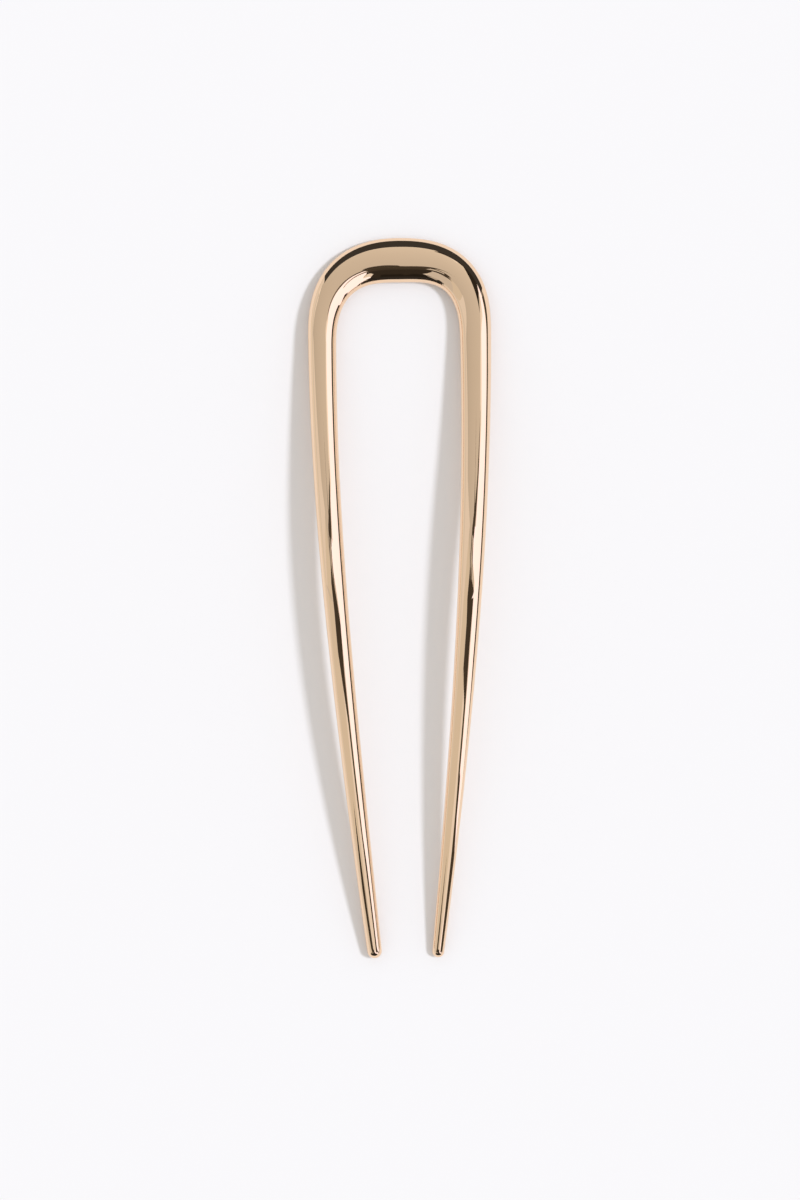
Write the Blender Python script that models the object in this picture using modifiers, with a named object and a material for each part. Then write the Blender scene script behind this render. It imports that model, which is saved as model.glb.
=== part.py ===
"""Cast metal hairpin: a broad arched crown that runs out into two tapering, gently bowed prongs.

The pin is one solid. It lies on its back: the crown's outer edge and the two tips touch Z = 0, the
domed front faces +Z and the prongs point along -Y. The origin is below the middle of the pin.
All lengths are in metres.
"""
import math

import bmesh
import bpy
import numpy as np

# Outline, seen from the front
LENGTH = 0.125           # crown's outer edge to the ends of the tips
WIDTH = 0.0319           # across the widest part of the arch
ARCH_LENGTH = 0.0184     # crown's outer edge to the line where the prongs begin
TIP_SPACING = 0.0109     # between the centres of the two tips
ARCH_SQUARENESS_SHARE = 2.60   # power of the arch's superellipse: 2 is an ellipse
PRONG_BEND_SHARE = 0.65        # share of the prong over which it turns inwards, then runs straight

# Section: width of the band and its height over the flat back
CROWN_BAND = 0.0078
CROWN_THICKNESS = 0.0029
PRONG_BAND = 0.0051      # where the prongs begin
PRONG_THICKNESS = 0.0027
TIP_DIAMETER = 0.0020
TAPER_SHARE = 0.65       # power of the taper: the prongs stay full, then narrow faster at the tips

# Section: the widest line lies this share of the thickness above the back, and the back is flat
# over this share of the band
CROWN_EDGE_SHARE = 0.22
PRONG_EDGE_SHARE = 0.31
TIP_EDGE_SHARE = 0.5
CROWN_FLAT_SHARE = 0.62
PRONG_FLAT_SHARE = 0.55
TIP_FLAT_SHARE = 0.12

# Section: the dome's ridge lies this share of half the band outwards from the band's middle, or
# inwards below zero, and the flanks are pared by this share, or fuller than an ellipse below zero
CROWN_RIDGE_SHARE = -0.18
PRONG_RIDGE_SHARE = 0.06
TIP_RIDGE_SHARE = 0.06
CROWN_PARED_SHARE = 0.03
PRONG_PARED_SHARE = -0.02
TIP_PARED_SHARE = 0.0

# Side view: the back runs straight up from the crown's edge, then bows over and down to the tips
BOW_START = 0.042        # length of the straight stretch, measured from the crown's outer edge
CROWN_ANGLE = math.radians(6.1)
TIP_ANGLE = math.radians(9.6)

# Fineness of the loft
ARCH_STATIONS = 24
PRONG_STATIONS = 44
NOSE_STATIONS = 6
DOME_SIDES = 12
CORNER_SIDES = 3
PATH_POINTS = 4000       # points of the fine curve that the stations are read from

# Gold plate
GOLD_COLOUR = (0.93, 0.70, 0.48, 1.0)
GOLD_ROUGHNESS = 0.06

MERGE_DISTANCE = LENGTH / 1e5


def clear_scene():
    for obj in list(bpy.data.objects):
        bpy.data.objects.remove(obj, do_unlink=True)


def new_collection(name):
    collection = bpy.data.collections.new(name)
    bpy.context.scene.collection.children.link(collection)
    return collection


def gold_material():
    material = bpy.data.materials.new("polished_gold_plate")
    material.use_nodes = True
    shader = material.node_tree.nodes["Principled BSDF"]
    shader.inputs["Base Color"].default_value = GOLD_COLOUR
    shader.inputs["Metallic"].default_value = 1.0
    shader.inputs["Roughness"].default_value = GOLD_ROUGHNESS
    material.diffuse_color = GOLD_COLOUR
    return material


def arch_curve():
    """Centreline of half the arch, from the crown's middle to where the prong begins."""
    half_width = (WIDTH - PRONG_BAND) / 2
    rise = ARCH_LENGTH - CROWN_BAND / 2
    spring_y = LENGTH / 2 - ARCH_LENGTH
    angle = np.linspace(math.pi / 2, 0, PATH_POINTS)
    power = 2 / ARCH_SQUARENESS_SHARE
    x = half_width * np.clip(np.cos(angle), 0, 1) ** power
    y = spring_y + rise * np.sin(angle) ** power
    x[0] = 0
    return x, y


def prong_curve():
    """Centreline of one prong: it bends inwards softly and then runs nearly straight to its tip."""
    half_width = (WIDTH - PRONG_BAND) / 2
    spring_y = LENGTH / 2 - ARCH_LENGTH
    down = np.linspace(0, 1, PATH_POINTS)[1:]
    bend = np.hypot(down, PRONG_BEND_SHARE) - PRONG_BEND_SHARE
    full_bend = math.hypot(1, PRONG_BEND_SHARE) - PRONG_BEND_SHARE
    x = half_width - (half_width - TIP_SPACING / 2) * bend / full_bend
    y = spring_y - (spring_y + LENGTH / 2) * down
    return x, y


def stations():
    """Distances along the centreline: even on the arch and the prong, closer round the nose."""
    arch_x, arch_y = arch_curve()
    prong_x, prong_y = prong_curve()
    x = np.concatenate((arch_x, prong_x))
    y = np.concatenate((arch_y, prong_y))
    run = np.concatenate(((0,), np.cumsum(np.hypot(np.diff(x), np.diff(y)))))
    arch_end = run[PATH_POINTS - 1]
    nose_start = run[-1] - TIP_DIAMETER / 2
    nose_angle = np.linspace(0, math.pi / 2, NOSE_STATIONS + 1)
    at = np.concatenate((
        np.linspace(0, arch_end, ARCH_STATIONS + 1),
        np.linspace(arch_end, nose_start, PRONG_STATIONS + 1)[1:],
        (nose_start + TIP_DIAMETER / 2 * np.sin(nose_angle))[1:],
    ))
    slope_x = np.gradient(x, run)
    slope_y = np.gradient(y, run)
    place = np.column_stack([np.interp(at, run, value) for value in (x, y)])
    tangent = np.column_stack([np.interp(at, run, value) for value in (slope_x, slope_y)])
    tangent /= np.linalg.norm(tangent, axis=1)[:, None]
    tangent[0] = (1, 0)
    return at, place, tangent, arch_end, nose_start


def blend_along(at, arch_end, crown, prong, tip):
    """A size along the pin: its crown value swells over the prong's taper and fades out by the
    arch's end, where the size has its prong value, and the taper ends at its tip value."""
    left = (at[-1] - at) / (at[-1] - arch_end)
    taper = tip + (prong - tip) * left ** TAPER_SHARE
    fade = (1 + np.cos(math.pi * np.clip(at / arch_end, 0, 1))) / 2
    return taper + (crown - taper[0]) * fade


def section_points(flat, edge, ridge, pared):
    """One closed section, counter-clockwise from its outer side: across as a share of half the
    band, height as a share of the thickness."""
    points = []
    for step in range(DOME_SIDES):
        angle = math.pi * step / DOME_SIDES
        reach = 1 - pared * math.sin(2 * angle) ** 2
        across = reach * math.cos(angle) + ridge * math.sin(angle) ** 2
        points.append((across, edge + (1 - edge) * reach * math.sin(angle)))
    for side in (-1, 1):
        for step in range(CORNER_SIDES + 1):
            angle = math.pi / 2 * step / CORNER_SIDES
            if side == 1:
                angle = math.pi / 2 - angle
            across = side * (flat + (1 - flat) * math.cos(angle))
            points.append((across, edge * (1 - math.sin(angle))))
    return points[:-1]


def bow_height(y):
    """Height of the back over the table: a straight incline, then one cubic down to the tips."""
    distance = LENGTH / 2 - y
    start_height = BOW_START * math.tan(CROWN_ANGLE)
    bow_length = LENGTH - BOW_START
    share = np.clip((distance - BOW_START) / bow_length, 0, 1)
    cubic = (
        start_height * (2 * share ** 3 - 3 * share ** 2 + 1)
        + bow_length * math.tan(CROWN_ANGLE) * (share ** 3 - 2 * share ** 2 + share)
        - bow_length * math.tan(TIP_ANGLE) * (share ** 3 - share ** 2)
    )
    return np.where(distance < BOW_START, distance * math.tan(CROWN_ANGLE), cubic)


def pin_rings():
    """Rings of points for half the pin, from the crown's middle to the nose."""
    at, place, tangent, arch_end, nose_start = stations()
    half_band = blend_along(at, arch_end, CROWN_BAND / 2, PRONG_BAND / 2, TIP_DIAMETER / 2)
    thickness = blend_along(at, arch_end, CROWN_THICKNESS, PRONG_THICKNESS, TIP_DIAMETER)
    edge = blend_along(at, arch_end, CROWN_EDGE_SHARE, PRONG_EDGE_SHARE, TIP_EDGE_SHARE)
    flat = blend_along(at, arch_end, CROWN_FLAT_SHARE, PRONG_FLAT_SHARE, TIP_FLAT_SHARE)
    ridge = blend_along(at, arch_end, CROWN_RIDGE_SHARE, PRONG_RIDGE_SHARE, TIP_RIDGE_SHARE)
    pared = blend_along(at, arch_end, CROWN_PARED_SHARE, PRONG_PARED_SHARE, TIP_PARED_SHARE)
    past_nose = np.clip((at - nose_start) / (at[-1] - nose_start), 0, 1)
    nose_scale = np.sqrt(1 - past_nose ** 2)
    rings = []
    for i in range(len(at)):
        section = np.array(section_points(flat[i], edge[i], ridge[i], pared[i]))
        across = section[:, 0] * half_band[i] * nose_scale[i]
        height = (edge[i] + (section[:, 1] - edge[i]) * nose_scale[i]) * thickness[i]
        outward = np.array((-tangent[i, 1], tangent[i, 0]))
        flat_xy = place[i] + across[:, None] * outward
        rings.append(np.column_stack((flat_xy, height + bow_height(flat_xy[:, 1]))))
    return np.array(rings)


def lay_on_table(rings):
    """Tilts the pin by a hair so that the crown's edge and the tips both touch Z = 0."""
    points = rings.reshape(-1, 3)
    crown = points[points[:, 1] > 0]
    prong = points[points[:, 1] <= 0]
    crown_low = crown[crown[:, 2].argmin()]
    tip_low = prong[prong[:, 2].argmin()]
    slope = (crown_low[2] - tip_low[2]) / (crown_low[1] - tip_low[1])
    laid = rings.copy()
    laid[..., 2] -= tip_low[2] + slope * (rings[..., 1] - tip_low[1])
    return laid


def build_pin(collection):
    """Lofts half the pin through its rings, closes the nose and mirrors it at the crown."""
    rings = lay_on_table(pin_rings())
    mesh = bpy.data.meshes.new("pin_body")
    shape = bmesh.new()
    loops = [[shape.verts.new(point) for point in ring] for ring in rings[:-1]]
    nose = shape.verts.new(rings[-1].mean(axis=0))
    sides = len(loops[0])
    for near, far in zip(loops, loops[1:]):
        for i in range(sides):
            j = (i + 1) % sides
            shape.faces.new((near[i], near[j], far[j], far[i]))
    for i in range(sides):
        shape.faces.new((loops[-1][i], loops[-1][(i + 1) % sides], nose))
    bmesh.ops.recalc_face_normals(shape, faces=shape.faces)
    shape.to_mesh(mesh)
    shape.free()
    mesh.shade_smooth()
    pin = bpy.data.objects.new("pin_body", mesh)
    pin.data.materials.append(gold_material())
    collection.objects.link(pin)
    mirror = pin.modifiers.new("other_half", "MIRROR")
    mirror.use_axis = (True, False, False)
    mirror.use_clip = True
    mirror.merge_threshold = MERGE_DISTANCE
    return pin


def main():
    clear_scene()
    build_pin(new_collection("hairpin"))


main()
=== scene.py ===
"""Gold-plated hairpin lying face up on a white table, in a plain photographer's studio.

The frame's axes: +Y along the pin from the tips to the crown, +X across the prongs, +Z up out of
the domed front. All lengths are in metres.
"""
import math

import bmesh
import bpy
import numpy as np
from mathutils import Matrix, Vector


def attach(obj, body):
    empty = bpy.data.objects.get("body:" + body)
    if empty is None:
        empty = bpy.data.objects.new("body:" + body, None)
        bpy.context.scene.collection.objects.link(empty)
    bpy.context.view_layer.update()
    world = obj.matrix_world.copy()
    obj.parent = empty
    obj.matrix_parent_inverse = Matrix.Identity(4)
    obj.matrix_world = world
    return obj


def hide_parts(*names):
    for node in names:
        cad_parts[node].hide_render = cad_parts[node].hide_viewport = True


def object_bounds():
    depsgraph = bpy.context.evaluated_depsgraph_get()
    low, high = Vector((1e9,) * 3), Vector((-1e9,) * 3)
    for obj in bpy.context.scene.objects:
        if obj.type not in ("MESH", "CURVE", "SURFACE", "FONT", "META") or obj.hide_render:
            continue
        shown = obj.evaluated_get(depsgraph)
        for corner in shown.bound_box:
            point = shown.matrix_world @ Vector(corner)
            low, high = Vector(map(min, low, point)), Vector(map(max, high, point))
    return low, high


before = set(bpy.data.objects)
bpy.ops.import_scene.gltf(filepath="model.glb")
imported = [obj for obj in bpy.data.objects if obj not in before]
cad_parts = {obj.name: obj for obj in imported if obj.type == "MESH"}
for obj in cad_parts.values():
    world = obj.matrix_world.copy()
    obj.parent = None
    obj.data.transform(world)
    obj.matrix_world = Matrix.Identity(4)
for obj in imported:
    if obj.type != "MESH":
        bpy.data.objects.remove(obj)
cad_box = [list(corner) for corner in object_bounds()]

# The pin's outline, seen from the front, by the formulas of its CAD source. Pairs are for the left
# and the right half, which are a little unlike. They were fitted to the photo's edges and bands by
# a program and then rounded.
LENGTH = cad_box[1][1] - cad_box[0][1]   # crown's outer edge to the ends of the tips
WIDTH = (0.0319, 0.0316)                 # across the widest part of the arch
ARCH_LENGTH = (0.0185, 0.0181)           # crown's outer edge to the line where the prongs begin
TIP_SPACING = (0.0113, 0.0103)           # between the centres of the two tips
ARCH_SQUARENESS_SHARE = (2.56, 2.78)     # power of the arch's superellipse: 2 is an ellipse
PRONG_BEND_SHARE = (0.56, 0.80)          # share of the prong over which it turns inwards

# The pin's section: width of the band and its height over the flat back
CROWN_BAND = 0.0078
CROWN_THICKNESS = 0.0029
PRONG_BAND = (0.0049, 0.0054)
PRONG_THICKNESS = 0.0027
TIP_DIAMETER = (0.0024, 0.0020)
TAPER_SHARE = (0.70, 0.85)               # power of the taper, which is faster near the tips

# The widest line lies this share of the thickness above the back, and the back is flat over this
# share of the band
CROWN_EDGE_SHARE = 0.22
PRONG_EDGE_SHARE = 0.31
TIP_EDGE_SHARE = 0.5
CROWN_FLAT_SHARE = 0.62
PRONG_FLAT_SHARE = 0.55
TIP_FLAT_SHARE = 0.12

# The dome's ridge lies this share of half the band outwards from the band's middle, or inwards
# below zero, and the flanks are pared by this share, or fuller than an ellipse below zero
CROWN_RIDGE_SHARE = -0.18
PRONG_RIDGE_SHARE = 0.06
TIP_RIDGE_SHARE = (0.06, 0.11)
CROWN_PARED_SHARE = 0.03
PRONG_PARED_SHARE = -0.02
TIP_PARED_SHARE = 0.0

# Side view: the back runs straight up from the crown's edge, then bows over and down to the tips
BOW_START = 0.042                        # length of the straight stretch
CROWN_ANGLE = math.radians(6.1)
TIP_ANGLE = math.radians(9.6)

# Fineness: a mirror shows every facet, so the visible pin is much finer than the solid. The path is
# the fine curve that the stations are read from.
ARCH_STATIONS = 110
PRONG_STATIONS = 170
NOSE_STATIONS = 16
DOME_SIDES = 64
CORNER_SIDES = 8
PATH_POINTS = 8000

# Gold plate. The scales of the noises are per metre, and the heights of the bumps in metres.
GOLD_LIGHT = (0.935, 0.688, 0.48, 1.0)
GOLD_DEEP = (0.925, 0.672, 0.46, 1.0)
TONE_SCALE = 140
TONE_DETAIL = 3
GOLD_ROUGHNESS = (0.012, 0.035)          # where it is best polished and where it is rubbed
RUBBED_SCALE = 420
RUBBED_DETAIL = 5
RUBBED_RANGE = (0.35, 0.70)              # the noise's levels that give the two roughnesses
WAVE_SCALE = 170
WAVE_DETAIL = 1
WAVE_HEIGHT = 4e-6
HAIRLINE_SCALE = 9000
HAIRLINE_DETAIL = 4
HAIRLINE_SQUEEZE = 0.02                  # how little the hairlines vary along the pin
HAIRLINE_HEIGHT = 1.5e-7

# Studio, as the metal reflects it: upright cards across the pin, flat cards high over the table,
# and tall screens round it. An upright card's outline is in metres, across and up, clockwise as
# seen from the tips, and it glows towards the crown alone. A flat card's outline is in degrees
# from straight up, across and along the pin. Where cards overlap, the metal sees the first.
# The cards' outlines, levels and tints and the screens weren't chosen by hand. They are a program's
# fit to the bands in the photo, with points left out, rounded, and the upright cards scaled.
WHITE = (1.0, 1.0, 1.0, 1.0)
DAYLIGHT = (1.0, 1.0, 1.21, 1.0)
WARM_WHITE = (1.02, 1.0, 0.93, 1.0)
CEILING_WHITE = (1.01, 1.0, 0.965, 1.0)
DIM = (1.05, 1.0, 0.9, 1.0)
SHADE = (1.12, 0.97, 0.78, 1.0)
EVEN = (0, 0)            # a level that is the same all over a card
UPRIGHT_PLACE = 0.0      # where the upright cards stand along the pin, at the bow's top
CARD_HEIGHT = 0.35
CARD_LIFT = 0.0004       # each card lies this far behind the one before it
# name, kind, level over the pin, change of level per metre across and along, tint, outline
CARDS = (
    ("stand_near", "upright", 0.03, EVEN, SHADE, (
        (-0.008, 0.053), (-0.003, 0.079), (-0.007, 0.103), (-0.017, 0.221), (-0.017, 0.285),
        (0.017, 0.285), (0.017, 0.221), (0.008, 0.103), (0.010, 0.048), (0.003, 0.025),
        (0.002, 0.069))),
    ("bounce_near", "upright", 1.3, EVEN, DAYLIGHT, (
        (0.025, 0.340), (0.118, 0.340), (0.118, 0.170), (0.093, 0.068), (0.067, 0.034),
        (0.019, 0.031), (0.021, 0.103), (0.019, 0.170))),
    ("drape_near", "upright", 0.63, EVEN, WHITE, (
        (-0.012, 0.290), (-0.010, 0.103), (-0.004, 0.066), (-0.035, 0.045), (-0.103, 0.052),
        (-0.103, 0.290))),
    ("rail_upper", "flat", 0.06, EVEN, SHADE, (
        (-11, 7), (-7, 10), (4, 13), (12, 16), (21, 18), (14, 14), (11, 11), (4, 8), (-5, 9),
        (-8, 4))),
    ("camera", "flat", 0.05, EVEN, SHADE, (
        (-17, 2), (-8, 6), (-1, 3), (-1, 19), (2, 11), (3, 3), (22, 0), (16, -6), (21, -14),
        (26, -20), (36, -21), (44, -25), (84, -28), (70, -44), (46, -37), (26, -40), (27, -27),
        (11, -18), (9, -12), (-15, -6), (-13, -1))),
    ("stand_far", "flat", 0.017, EVEN, SHADE, (
        (-19, -30), (1, -33), (12, -38), (10, -42), (23, -53), (2, -68), (-6, -84), (-40, -61),
        (-26, -56), (-10, -45))),
    ("gap_low_left", "flat", 0.04, EVEN, SHADE, (
        (-51, -30), (-25, -22), (-16, -36), (-27, -42), (-26, -69), (-50, -48), (-30, -36))),
    ("beam_right", "flat", 0.025, EVEN, SHADE, (
        (24, 24), (41, 34), (48, 42), (64, 48), (57, 61), (37, 73), (11, 60), (32, 52),
        (29, 38))),
    ("softbox", "flat", 1.32, (-0.07, -0.02), DAYLIGHT, (
        (4, 5), (-2, 10), (12, 9), (18, 15), (26, 17), (24, 21), (37, 24), (42, 34), (52, 46),
        (54, 26), (64, 16), (64, -11), (80, -23), (74, -37), (48, -64), (30, -54), (12, -44),
        (12, -33), (21, -30), (24, -44), (30, -23), (22, -8), (22, 1))),
    ("fill_board", "flat", 0.86, EVEN, WHITE, (
        (-9, -27), (-4, -27), (-4, -2), (6, -8), (10, -20), (18, -18), (23, -13), (34, -28),
        (20, -40), (9, -60), (-12, -60))),
    ("left_panel", "flat", 0.8, EVEN, WHITE, (
        (-66, -22), (-54, -2), (-21, 11), (-65, 22), (-84, 12), (-84, -8))),
    ("ceiling_low", "flat", 0.69, EVEN, WARM_WHITE, (
        (4, -5), (-4, -9), (4, -30), (-28, -26), (-30, -44), (-48, -43), (-77, -30), (-67, 3),
        (-30, 13), (-12, 4), (-19, -7))),
    ("ceiling", "flat", 0.6, (0.21, 0.19), CEILING_WHITE, (
        (-20, 62), (-1, 67), (14, 66), (24, 52), (35, 57), (32, 36), (40, 30), (18, 20),
        (24, 0), (20, -40), (-9, -47), (-28, -62), (-45, -66), (-75, -35), (-70, -6),
        (-46, 34), (-53, 50))),
    ("right_gap", "flat", 0.06, EVEN, DIM, (
        (30, -52), (42, -72), (60, -58), (82, -20), (82, 4), (70, 40), (53, 33), (65, 15),
        (62, 0), (50, -30))),
)

SCREEN_RADIUS = 0.6
SCREEN_STEP = math.radians(2)            # the widest flat stretch of a round screen
# name, level, first and last azimuth, lowest and highest elevation, in degrees
SCREENS = (
    ("back_wall", 0.046, 33, 134, 0, 26),
    ("right_rail", 0.5, -60, 12, 4, 7),
    ("front_wall", 0.028, -134, -60, 0, 30),
    ("left_rail_low", 0.8, 134, 230, 0, 21),
    ("left_wall", 0.7, 142, 230, 21, 29),
    ("left_rail_high", 0.5, 142, 230, 33, 60),
)

# Light on the table
TABLE_SIZE = 4.0
TABLE_COLOUR = (0.905, 0.9, 0.925, 1.0)
BACKGROUND_LEVEL = 0.952
ROOM_LEVEL = 0.94
FILL_LEVEL = 0.715
FILL_COLOUR = (0.995, 0.975, 0.93, 1.0)   # warm, so the shadows are
KEY_ELEVATION = math.radians(52)
KEY_WIDTH = math.radians(9)               # how wide the lamp looks from the table
KEY_STRENGTH = 1.46
KEY_COLOUR = (0.95, 0.98, 1.05)

# Camera: straight down, the image's long side is the sensor's
CAMERA_PLACE = (-0.00058, -0.00039, 0.801)
CAMERA_ROLL = math.radians(-0.74)
SENSOR = 36.0
VIEW_HEIGHT = 0.20832    # what the image's height covers at the distance below
VIEW_DISTANCE = 0.8
CAMERA_NEAR = 0.01


def arch_curve(half):
    """Centreline of half the arch, from the crown's middle to where the prong begins."""
    half_width = (WIDTH[half] - PRONG_BAND[half]) / 2
    rise = ARCH_LENGTH[half] - CROWN_BAND / 2
    spring_y = LENGTH / 2 - ARCH_LENGTH[half]
    angle = np.linspace(math.pi / 2, 0, PATH_POINTS)
    power = 2 / ARCH_SQUARENESS_SHARE[half]
    x = half_width * np.clip(np.cos(angle), 0, 1) ** power
    y = spring_y + rise * np.sin(angle) ** power
    x[0] = 0
    return x, y


def prong_curve(half):
    """Centreline of one prong: it bends inwards softly and then runs nearly straight to its tip."""
    half_width = (WIDTH[half] - PRONG_BAND[half]) / 2
    spring_y = LENGTH / 2 - ARCH_LENGTH[half]
    bend_share = PRONG_BEND_SHARE[half]
    down = np.linspace(0, 1, PATH_POINTS)[1:]
    bend = np.hypot(down, bend_share) - bend_share
    full_bend = math.hypot(1, bend_share) - bend_share
    x = half_width - (half_width - TIP_SPACING[half] / 2) * bend / full_bend
    y = spring_y - (spring_y + LENGTH / 2) * down
    return x, y


def stations(half):
    """Distances along the centreline, even on the arch and the prong and closer round the nose,
    with its places and directions there."""
    arch_x, arch_y = arch_curve(half)
    prong_x, prong_y = prong_curve(half)
    x = np.concatenate((arch_x, prong_x))
    y = np.concatenate((arch_y, prong_y))
    run = np.concatenate(((0,), np.cumsum(np.hypot(np.diff(x), np.diff(y)))))
    arch_end = run[PATH_POINTS - 1]
    nose_length = TIP_DIAMETER[half] / 2
    nose_start = run[-1] - nose_length
    nose_angle = np.linspace(0, math.pi / 2, NOSE_STATIONS + 1)
    at = np.concatenate((
        np.linspace(0, arch_end, ARCH_STATIONS + 1),
        np.linspace(arch_end, nose_start, PRONG_STATIONS + 1)[1:],
        (nose_start + nose_length * np.sin(nose_angle))[1:],
    ))
    slope_x = np.gradient(x, run)
    slope_y = np.gradient(y, run)
    place = np.column_stack([np.interp(at, run, value) for value in (x, y)])
    tangent = np.column_stack([np.interp(at, run, value) for value in (slope_x, slope_y)])
    tangent /= np.linalg.norm(tangent, axis=1)[:, None]
    tangent[0] = (1, 0)
    return at, place, tangent, arch_end, nose_start


def blend_along(half, at, arch_end, crown, prong, tip):
    """A size along the pin: its crown value swells over the prong's taper and fades out by the
    arch's end, where the size has its prong value, and the taper ends at its tip value."""
    still_to_go = (at[-1] - at) / (at[-1] - arch_end)
    taper = tip + (prong - tip) * still_to_go ** TAPER_SHARE[half]
    fade = (1 + np.cos(math.pi * np.clip(at / arch_end, 0, 1))) / 2
    return taper + (crown - taper[0]) * fade


def section_points(flat, edge, ridge, pared):
    """One closed section, counter-clockwise from its outer side: across as a share of half the
    band, height as a share of the thickness."""
    points = []
    for step in range(DOME_SIDES):
        angle = math.pi * step / DOME_SIDES
        reach = 1 - pared * math.sin(2 * angle) ** 2
        across = reach * math.cos(angle) + ridge * math.sin(angle) ** 2
        points.append((across, edge + (1 - edge) * reach * math.sin(angle)))
    for side in (-1, 1):
        for step in range(CORNER_SIDES + 1):
            angle = math.pi / 2 * step / CORNER_SIDES
            if side == 1:
                angle = math.pi / 2 - angle
            across = side * (flat + (1 - flat) * math.cos(angle))
            points.append((across, edge * (1 - math.sin(angle))))
    # The last point is the first one again
    return points[:-1]


def bow_height(y):
    """Height of the back over the table: a straight incline, then one cubic down to the tips."""
    distance = LENGTH / 2 - y
    start_height = BOW_START * math.tan(CROWN_ANGLE)
    bow_length = LENGTH - BOW_START
    share = np.clip((distance - BOW_START) / bow_length, 0, 1)
    cubic = (
        start_height * (2 * share ** 3 - 3 * share ** 2 + 1)
        + bow_length * math.tan(CROWN_ANGLE) * (share ** 3 - 2 * share ** 2 + share)
        - bow_length * math.tan(TIP_ANGLE) * (share ** 3 - share ** 2)
    )
    return np.where(distance < BOW_START, distance * math.tan(CROWN_ANGLE), cubic)


def half_rings(half):
    """Rings of points for one half of the pin, from the crown's middle to the nose."""
    at, place, tangent, arch_end, nose_start = stations(half)

    def blend(crown, prong, tip):
        return blend_along(half, at, arch_end, crown, prong, tip)

    half_band = blend(CROWN_BAND / 2, PRONG_BAND[half] / 2, TIP_DIAMETER[half] / 2)
    thickness = blend(CROWN_THICKNESS, PRONG_THICKNESS, TIP_DIAMETER[half])
    edge = blend(CROWN_EDGE_SHARE, PRONG_EDGE_SHARE, TIP_EDGE_SHARE)
    flat = blend(CROWN_FLAT_SHARE, PRONG_FLAT_SHARE, TIP_FLAT_SHARE)
    ridge = blend(CROWN_RIDGE_SHARE, PRONG_RIDGE_SHARE, TIP_RIDGE_SHARE[half])
    pared = blend(CROWN_PARED_SHARE, PRONG_PARED_SHARE, TIP_PARED_SHARE)
    past_nose = np.clip((at - nose_start) / (at[-1] - nose_start), 0, 1)
    nose_scale = np.sqrt(1 - past_nose ** 2)
    rings = []
    for i in range(len(at)):
        section = np.array(section_points(flat[i], edge[i], ridge[i], pared[i]))
        across = section[:, 0] * half_band[i] * nose_scale[i]
        height = (edge[i] + (section[:, 1] - edge[i]) * nose_scale[i]) * thickness[i]
        outward = np.array((-tangent[i, 1], tangent[i, 0]))
        flat_xy = place[i] + across[:, None] * outward
        rings.append(np.column_stack((flat_xy, height + bow_height(flat_xy[:, 1]))))
    return at, np.array(rings)


def pin_rings():
    """Rings of the whole pin, from the left nose over the crown to the right one, with their
    distances along it. Both halves have the ring at the crown's middle, and it is kept once."""
    left_at, left = half_rings(0)
    right_at, right = half_rings(1)
    left[..., 0] *= -1
    at = np.concatenate((-left_at[:0:-1], right_at))
    return at, np.concatenate((left[:0:-1], right))


def lay_on_table(rings):
    """Tilts the pin by a hair so that the crown's edge and the tips both touch the table."""
    points = rings.reshape(-1, 3)
    crown = points[points[:, 1] > 0]
    prong = points[points[:, 1] <= 0]
    crown_low = crown[crown[:, 2].argmin()]
    tip_low = prong[prong[:, 2].argmin()]
    slope = (crown_low[2] - tip_low[2]) / (crown_low[1] - tip_low[1])
    laid = rings.copy()
    laid[..., 2] -= tip_low[2] + slope * (rings[..., 1] - tip_low[1])
    return laid


def build_pin():
    """The pin at mirror fineness. The map of its surface is in metres: around it, by the crown's
    rough girth, and along it."""
    at, rings = pin_rings()
    rings = lay_on_table(rings)
    mesh = bpy.data.meshes.new("hairpin_body")
    shape = bmesh.new()
    surface_map = shape.loops.layers.uv.new("surface")
    loops = [[shape.verts.new(point) for point in ring] for ring in rings[1:-1]]
    sides = len(loops[0])
    girth = 2 * CROWN_BAND + CROWN_THICKNESS
    around = np.linspace(0, girth, sides + 1)
    for row in range(len(loops) - 1):
        for i in range(sides):
            j = (i + 1) % sides
            near, far = loops[row], loops[row + 1]
            face = shape.faces.new((near[i], near[j], far[j], far[i]))
            corners = ((i, row), (i + 1, row), (i + 1, row + 1), (i, row + 1))
            for loop, (side, station) in zip(face.loops, corners):
                loop[surface_map].uv = (around[side], at[station + 1])
    for end, last in ((0, loops[0]), (-1, loops[-1])):
        nose = shape.verts.new(rings[end].mean(axis=0))
        for i in range(sides):
            face = shape.faces.new((last[i], last[(i + 1) % sides], nose))
            for loop, side in zip(face.loops, (i, i + 1, i)):
                loop[surface_map].uv = (around[side], at[end])
    bmesh.ops.recalc_face_normals(shape, faces=shape.faces)
    shape.to_mesh(mesh)
    shape.free()
    mesh.shade_smooth()
    pin = bpy.data.objects.new("hairpin_body", mesh)
    bpy.context.scene.collection.objects.link(pin)
    return pin


def noise(tree, coordinates, scale, detail):
    """The level of a noise that is laid out by the given coordinates."""
    texture = tree.nodes.new("ShaderNodeTexNoise")
    texture.inputs["Scale"].default_value = scale
    texture.inputs["Detail"].default_value = detail
    tree.links.new(coordinates, texture.inputs["Vector"])
    return texture.outputs["Fac"]


def bump(tree, level, height):
    """A bump that stands up to the given height where the level is 1."""
    relief = tree.nodes.new("ShaderNodeBump")
    relief.inputs["Strength"].default_value = 1.0
    relief.inputs["Distance"].default_value = height
    tree.links.new(level, relief.inputs["Height"])
    return relief


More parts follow.
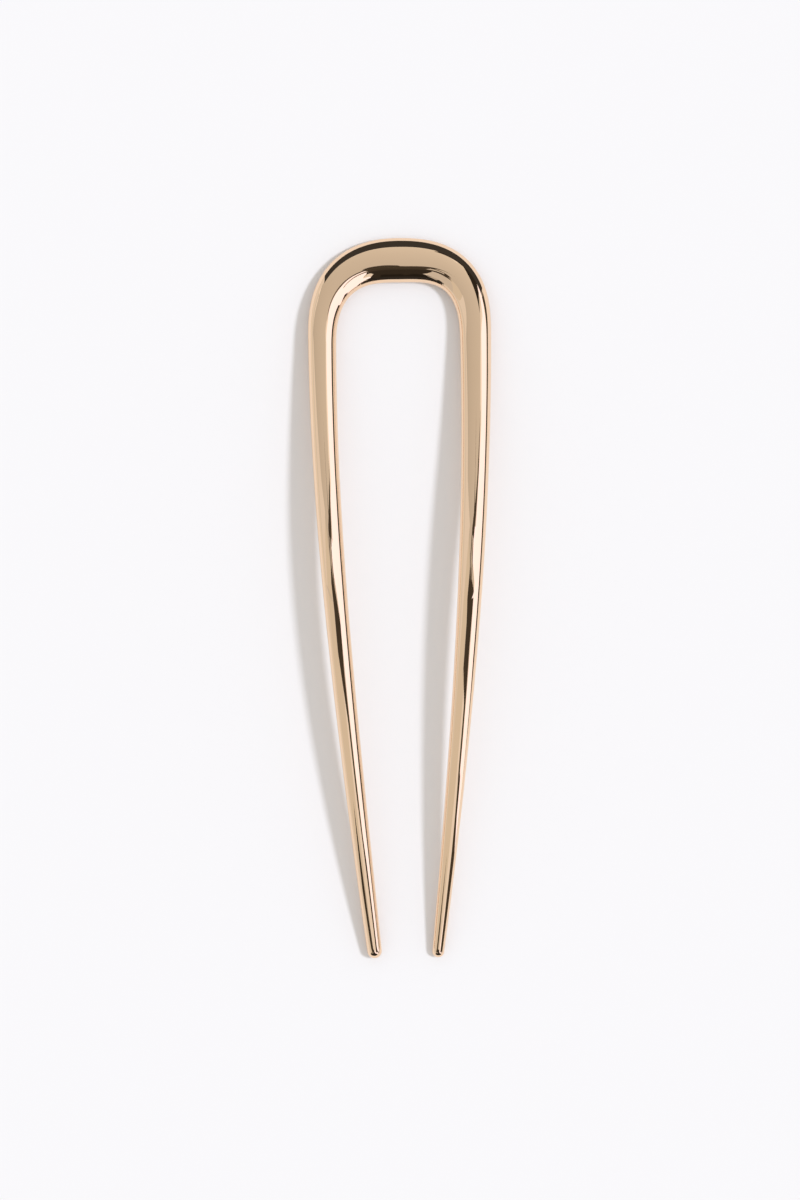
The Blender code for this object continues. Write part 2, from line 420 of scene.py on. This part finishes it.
def gold_material():
    """Mirror-polished gold plate: faint hand-polished waves, hairline scratches, uneven sheen."""
    material = bpy.data.materials.new("polished_gold_plate")
    material.use_nodes = True
    tree = material.node_tree
    links = tree.links
    shader = tree.nodes["Principled BSDF"]
    shader.inputs["Metallic"].default_value = 1.0
    place = tree.nodes.new("ShaderNodeTexCoord")

    tone = noise(tree, place.outputs["Object"], TONE_SCALE, TONE_DETAIL)
    colour = tree.nodes.new("ShaderNodeMix")
    colour.data_type = "RGBA"
    colour.inputs["A"].default_value = GOLD_DEEP
    colour.inputs["B"].default_value = GOLD_LIGHT
    links.new(tone, colour.inputs["Factor"])
    links.new(colour.outputs["Result"], shader.inputs["Base Color"])

    rubbed = noise(tree, place.outputs["Object"], RUBBED_SCALE, RUBBED_DETAIL)
    sheen = tree.nodes.new("ShaderNodeMapRange")
    sheen.inputs["From Min"].default_value = RUBBED_RANGE[0]
    sheen.inputs["From Max"].default_value = RUBBED_RANGE[1]
    sheen.inputs["To Min"].default_value = GOLD_ROUGHNESS[0]
    sheen.inputs["To Max"].default_value = GOLD_ROUGHNESS[1]
    links.new(rubbed, sheen.inputs["Value"])
    links.new(sheen.outputs["Result"], shader.inputs["Roughness"])

    # The hairlines run along the pin, so the surface map is squeezed along it
    lengthwise = tree.nodes.new("ShaderNodeMapping")
    lengthwise.inputs["Scale"].default_value = (1, HAIRLINE_SQUEEZE, 1)
    links.new(place.outputs["UV"], lengthwise.inputs["Vector"])
    hairlines = noise(tree, lengthwise.outputs["Vector"], HAIRLINE_SCALE, HAIRLINE_DETAIL)
    waves = noise(tree, place.outputs["Object"], WAVE_SCALE, WAVE_DETAIL)
    wave_bump = bump(tree, waves, WAVE_HEIGHT)
    hair_bump = bump(tree, hairlines, HAIRLINE_HEIGHT)
    links.new(wave_bump.outputs["Normal"], hair_bump.inputs["Normal"])
    links.new(hair_bump.outputs["Normal"], shader.inputs["Normal"])
    return material


def glowing(name, level, slope, tint, both_sides=True):
    """A plain lit studio surface, whose level changes evenly across it by the slope. With one side
    lit, it is like an area lamp, which isn't there from behind."""
    material = bpy.data.materials.new(name)
    material.use_nodes = True
    nodes = material.node_tree.nodes
    links = material.node_tree.links
    nodes.clear()
    place = nodes.new("ShaderNodeTexCoord")
    change = nodes.new("ShaderNodeVectorMath")
    change.operation = "DOT_PRODUCT"
    change.inputs[1].default_value = (*slope, 0)
    links.new(place.outputs["Object"], change.inputs[0])
    strength = nodes.new("ShaderNodeMath")
    strength.operation = "ADD"
    strength.inputs[1].default_value = level
    links.new(change.outputs["Value"], strength.inputs[0])
    light = nodes.new("ShaderNodeEmission")
    light.inputs["Color"].default_value = tint
    links.new(strength.outputs["Value"], light.inputs["Strength"])
    out = nodes.new("ShaderNodeOutputMaterial")
    if both_sides:
        links.new(light.outputs["Emission"], out.inputs["Surface"])
    else:
        face = nodes.new("ShaderNodeNewGeometry")
        clear = nodes.new("ShaderNodeBsdfTransparent")
        sides = nodes.new("ShaderNodeMixShader")
        links.new(face.outputs["Backfacing"], sides.inputs["Fac"])
        links.new(light.outputs["Emission"], sides.inputs[1])
        links.new(clear.outputs["BSDF"], sides.inputs[2])
        links.new(sides.outputs["Shader"], out.inputs["Surface"])
    return material


def studio_surface(name, material, points, faces):
    """A studio surface that only the metal sees: it lights nothing and casts no shadow."""
    mesh = bpy.data.meshes.new(name)
    mesh.from_pydata(points, [], faces)
    mesh.update()
    surface = bpy.data.objects.new(name, mesh)
    surface.data.materials.append(material)
    bpy.context.scene.collection.objects.link(surface)
    surface.visible_camera = False
    surface.visible_diffuse = False
    surface.visible_shadow = False


def card_corner(kind, across, along, lift):
    """Place of a card's corner: an upright card's is given in metres, a flat card's in degrees."""
    if kind == "upright":
        return (across, UPRIGHT_PLACE - lift, along)
    angle = math.hypot(across, along)
    reach = CARD_HEIGHT * math.tan(math.radians(angle)) / angle
    return (across * reach, along * reach, CARD_HEIGHT + lift)


def build_cards():
    """The cards across and over the pin, each a little behind the one before it."""
    for order, (name, kind, level, slope, tint, outline) in enumerate(CARDS):
        lift = order * CARD_LIFT
        points = [card_corner(kind, across, along, lift) for across, along in outline]
        material = glowing(name, level, slope, tint, both_sides=kind == "flat")
        studio_surface(name, material, points, [tuple(range(len(points)))])


def build_screens():
    """The tall round screens that stand about the table."""
    for name, level, first, last, low, high in SCREENS:
        steps = math.ceil(math.radians(last - first) / SCREEN_STEP)
        points = []
        for azimuth in np.linspace(math.radians(first), math.radians(last), steps + 1):
            for elevation in (low, high):
                points.append((
                    SCREEN_RADIUS * math.cos(azimuth),
                    SCREEN_RADIUS * math.sin(azimuth),
                    SCREEN_RADIUS * math.tan(math.radians(elevation)),
                ))
        faces = [(2 * i, 2 * i + 2, 2 * i + 3, 2 * i + 1) for i in range(steps)]
        studio_surface(name, glowing(name, level, EVEN, WHITE), points, faces)


def build_table():
    """A smooth white table top, far larger than the view."""
    half = TABLE_SIZE / 2
    corners = [(-half, -half, 0), (half, -half, 0), (half, half, 0), (-half, half, 0)]
    mesh = bpy.data.meshes.new("table_top")
    mesh.from_pydata(corners, [], [(0, 1, 2, 3)])
    mesh.update()
    table = bpy.data.objects.new("table_top", mesh)
    material = bpy.data.materials.new("matt_white_table")
    material.use_nodes = True
    shader = material.node_tree.nodes["Principled BSDF"]
    shader.inputs["Base Color"].default_value = TABLE_COLOUR
    shader.inputs["Roughness"].default_value = 1.0
    shader.inputs["Specular IOR Level"].default_value = 0.0
    table.data.materials.append(material)
    bpy.context.scene.collection.objects.link(table)


def plain_sky(nodes, level, colour):
    """A sky of one level and colour all round."""
    sky = nodes.new("ShaderNodeBackground")
    sky.inputs["Color"].default_value = colour
    sky.inputs["Strength"].default_value = level
    return sky.outputs["Background"]


def build_room():
    """White to the camera, a lit room to the metal, and an even fill light on the table."""
    world = bpy.data.worlds.new("studio_room")
    world.use_nodes = True
    nodes = world.node_tree.nodes
    links = world.node_tree.links
    nodes.clear()
    path = nodes.new("ShaderNodeLightPath")
    out = nodes.new("ShaderNodeOutputWorld")
    glossy = nodes.new("ShaderNodeMixShader")
    links.new(path.outputs["Is Glossy Ray"], glossy.inputs["Fac"])
    links.new(plain_sky(nodes, FILL_LEVEL, FILL_COLOUR), glossy.inputs[1])
    links.new(plain_sky(nodes, ROOM_LEVEL, WHITE), glossy.inputs[2])
    camera = nodes.new("ShaderNodeMixShader")
    links.new(path.outputs["Is Camera Ray"], camera.inputs["Fac"])
    links.new(glossy.outputs["Shader"], camera.inputs[1])
    links.new(plain_sky(nodes, BACKGROUND_LEVEL, WHITE), camera.inputs[2])
    links.new(camera.outputs["Shader"], out.inputs["Surface"])
    bpy.context.scene.world = world


def build_key_light():
    """The lamp on the right, which casts the pin's soft-edged shadow to the left. The metal doesn't
    show it."""
    data = bpy.data.lights.new("key_light", "SUN")
    data.angle = KEY_WIDTH
    data.energy = KEY_STRENGTH
    data.color = KEY_COLOUR
    lamp = bpy.data.objects.new("key_light", data)
    lamp.rotation_euler = (0, math.pi / 2 - KEY_ELEVATION, 0)
    lamp.visible_glossy = False
    bpy.context.scene.collection.objects.link(lamp)


def build_camera():
    """The photo's view, straight down on the pin."""
    data = bpy.data.cameras.new("camera")
    data.sensor_width = SENSOR
    data.lens = SENSOR * VIEW_DISTANCE / VIEW_HEIGHT
    data.clip_start = CAMERA_NEAR
    camera = bpy.data.objects.new("camera", data)
    camera.location = CAMERA_PLACE
    camera.rotation_euler = (0, 0, CAMERA_ROLL)
    bpy.context.scene.collection.objects.link(camera)
    bpy.context.scene.camera = camera


build_camera()
pin = build_pin()
pin.data.materials.append(gold_material())
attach(pin, "root")
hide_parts("pin_body")
build_cards()
build_screens()
build_table()
build_room()
build_key_light()
bpy.context.scene.view_settings.view_transform = "Standard"
